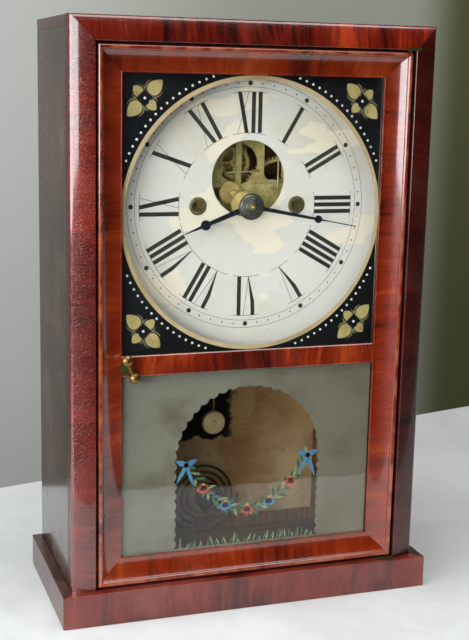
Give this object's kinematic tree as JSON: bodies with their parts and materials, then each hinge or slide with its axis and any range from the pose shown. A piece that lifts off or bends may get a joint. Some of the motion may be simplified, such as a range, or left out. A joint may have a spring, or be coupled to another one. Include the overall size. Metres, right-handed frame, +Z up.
{
  "type": "ogee shelf clock",
  "caption": "Miniature ogee shelf clock: moulded mahogany case with a two-glass door over a dial with an open centre, and a spring-driven striking pendulum movement inside.",
  "frame": {"origin": "middle of the footprint on the surface the clock stands on", "axes": "+X to the viewer's right, +Y from the dial to the back board, +Z up"},
  "size_m": [0.309, 0.14, 0.464],
  "materials": {
    "mahogany_plinth": "dark mahogany, polished",
    "mahogany_case": "dark mahogany veneer, polished",
    "mahogany_moulding": "crotch mahogany veneer, shellac gloss",
    "mahogany_door": "red-brown mahogany veneer, shellac gloss",
    "mahogany_rail": "orange flame mahogany veneer, shellac gloss",
    "pine": "bare pine, aged",
    "pine_stained": "pine stained red-brown",
    "label_paper": "old rag paper, bare",
    "dial_paint": "off-white oil paint on zinc, aged",
    "painted_glass": "glass painted black behind, clear round window",
    "frosted_glass": "glass painted grey-green behind",
    "brass": "turned brass",
    "movement_brass": "stamped sheet brass",
    "brass_wire": "drawn brass wire",
    "bob_brass": "spun brass",
    "old_brass": "dull brass with green tarnish",
    "steel": "drawn steel",
    "blued_steel": "blue-black steel",
    "spring_steel": "blued spring steel",
    "gong_steel": "dark hardened steel wire",
    "black_iron": "japanned cast iron"
  },
  "bodies": {
    "case": {"base_front": "mahogany_plinth", "base_sides": "mahogany_plinth", "bottom_board": "pine", "top_board": "mahogany_case", "side_left": "mahogany_case", "side_right": "mahogany_case", "back_board": "pine", "moulding_left": "mahogany_moulding", "moulding_right": "mahogany_moulding", "moulding_top": "mahogany_moulding", "door_stops": "pine_stained", "label": "label_paper", "dial": "dial_paint", "dial_blocks": "pine", "dial_pins": "brass", "case_hinges": "old_brass", "front_plate": "movement_brass", "back_plate": "movement_brass", "pillars": "brass", "pillar_nuts": "brass", "movement_posts": "movement_brass", "movement_screws": "steel", "time_mainspring": "spring_steel", "strike_mainspring": "spring_steel", "suspension_cock": "movement_brass", "gong_stand": "black_iron", "gong_coil": "gong_steel"},
    "door": {"stile_left": "mahogany_door", "stile_right": "mahogany_door", "rail_top": "mahogany_door", "rail_bottom": "mahogany_door", "rail_middle": "mahogany_rail", "upper_glass": "painted_glass", "lower_glass": "frosted_glass", "glazing_strips": "pine_stained", "door_hinges": "old_brass", "latch_plate": "old_brass"},
    "latch": {"latch_knob": "brass", "latch_tongue": "old_brass"},
    "minute": {"minute_hand": "blued_steel", "hand_washer": "blued_steel", "cannon_pinion": "brass"},
    "hour": {"hour_hand": "blued_steel", "hour_wheel": "brass"},
    "minute_wheel": {"minute_wheel": "brass"},
    "time_great": {"time_great_wheel": "brass"},
    "time_winding": {"time_winding_arbor": "steel"},
    "centre": {"centre_wheel": "brass"},
    "third": {"third_wheel": "brass"},
    "escape": {"escape_wheel": "brass"},
    "verge": {"verge": "steel"},
    "pendulum": {"pendulum_rod": "brass_wire", "pendulum_bob": "bob_brass"},
    "strike_great": {"strike_great_wheel": "brass"},
    "strike_winding": {"strike_winding_arbor": "steel"},
    "pin_wheel": {"pin_wheel": "brass"},
    "warning_wheel": {"warning_wheel": "brass"},
    "fly": {"fly": "brass"},
    "count_wheel": {"count_wheel": "brass"},
    "hammer": {"hammer": "steel"}
  },
  "joints": [
    {"name": "door_hinge", "type": "hinge", "parent": "case", "child": "door", "pos_m": [0.1236, -0.0608, 0.235], "axis": [0, 0, 1], "range_deg": [0, 110]},
    {"name": "latch_turn", "type": "hinge", "parent": "door", "child": "latch", "pos_m": [-0.0996, -0.064, 0.2018], "axis": [0, 1, 0], "range_deg": [0, 90]},
    {"name": "minute_hand_turn", "type": "hinge", "parent": "case", "child": "minute", "pos_m": [0, 0.0026, 0.32305], "axis": [0, 1, 0], "continuous": true},
    {"name": "hour_hand_turn", "type": "hinge", "parent": "case", "child": "hour", "pos_m": [0, 0.0026, 0.32305], "axis": [0, 1, 0], "continuous": true},
    {"name": "minute_wheel_turn", "type": "hinge", "parent": "case", "child": "minute_wheel", "pos_m": [-0.0085, 0.0026, 0.33155], "axis": [0, 1, 0], "continuous": true},
    {"name": "third_wheel_turn", "type": "hinge", "parent": "case", "child": "third", "pos_m": [-0.0165, 0.0026, 0.34855], "axis": [0, 1, 0], "continuous": true},
    {"name": "centre_wheel_turn", "type": "hinge", "parent": "case", "child": "centre", "pos_m": [0, 0.0026, 0.32305], "axis": [0, 1, 0], "continuous": true},
    {"name": "time_great_turn", "type": "hinge", "parent": "case", "child": "time_great", "pos_m": [0.041, 0.0026, 0.32305], "axis": [0, 1, 0], "continuous": true},
    {"name": "escape_wheel_turn", "type": "hinge", "parent": "case", "child": "escape", "pos_m": [0, 0.0026, 0.35405], "axis": [0, 1, 0], "continuous": true},
    {"name": "time_winding_turn", "type": "hinge", "parent": "case", "child": "time_winding", "pos_m": [0.041, 0.0026, 0.32305], "axis": [0, 1, 0], "continuous": true},
    {"name": "strike_winding_turn", "type": "hinge", "parent": "case", "child": "strike_winding", "pos_m": [-0.041, 0.0026, 0.32305], "axis": [0, 1, 0], "continuous": true},
    {"name": "warning_wheel_turn", "type": "hinge", "parent": "case", "child": "warning_wheel", "pos_m": [-0.0138, 0.0026, 0.28505], "axis": [0, 1, 0], "continuous": true},
    {"name": "pin_wheel_turn", "type": "hinge", "parent": "case", "child": "pin_wheel", "pos_m": [-0.0316, 0.0026, 0.28805], "axis": [0, 1, 0], "continuous": true},
    {"name": "strike_great_turn", "type": "hinge", "parent": "case", "child": "strike_great", "pos_m": [-0.041, 0.0026, 0.32305], "axis": [0, 1, 0], "continuous": true},
    {"name": "count_wheel_turn", "type": "hinge", "parent": "case", "child": "count_wheel", "pos_m": [-0.041, 0.0026, 0.32305], "axis": [0, 1, 0], "continuous": true},
    {"name": "fly_turn", "type": "hinge", "parent": "case", "child": "fly", "pos_m": [0.0017, 0.0026, 0.28805], "axis": [0, 1, 0], "continuous": true},
    {"name": "pendulum_swing", "type": "hinge", "parent": "case", "child": "pendulum", "pos_m": [0, 0.0026, 0.37705], "axis": [0, 1, 0], "range_deg": [-4, 4]},
    {"name": "verge_swing", "type": "hinge", "parent": "case", "child": "verge", "pos_m": [0, 0.0026, 0.37705], "axis": [0, 1, 0], "range_deg": [-4, 4]},
    {"name": "hammer_swing", "type": "hinge", "parent": "case", "child": "hammer", "pos_m": [-0.052, 0.0026, 0.28705], "axis": [0, 1, 0], "range_deg": [0, 8], "stiffness_Nm_per_rad": 0.02, "springref_deg": -5.73}
  ],
  "couplings": [
    {"joint": "hour_hand_turn", "follows": "minute_hand_turn", "ratio": 0.083333},
    {"joint": "minute_wheel_turn", "follows": "minute_hand_turn", "ratio": -0.33333},
    {"joint": "centre_wheel_turn", "follows": "third_wheel_turn", "ratio": -0.11111},
    {"joint": "time_great_turn", "follows": "third_wheel_turn", "ratio": 0.015432},
    {"joint": "escape_wheel_turn", "follows": "third_wheel_turn", "ratio": -10},
    {"joint": "pin_wheel_turn", "follows": "warning_wheel_turn", "ratio": -0.125},
    {"joint": "strike_great_turn", "follows": "warning_wheel_turn", "ratio": 0.013889},
    {"joint": "count_wheel_turn", "follows": "warning_wheel_turn", "ratio": 0.012821},
    {"joint": "fly_turn", "follows": "warning_wheel_turn", "ratio": -7.5},
    {"joint": "verge_swing", "follows": "pendulum_swing", "ratio": 1}
  ]
}
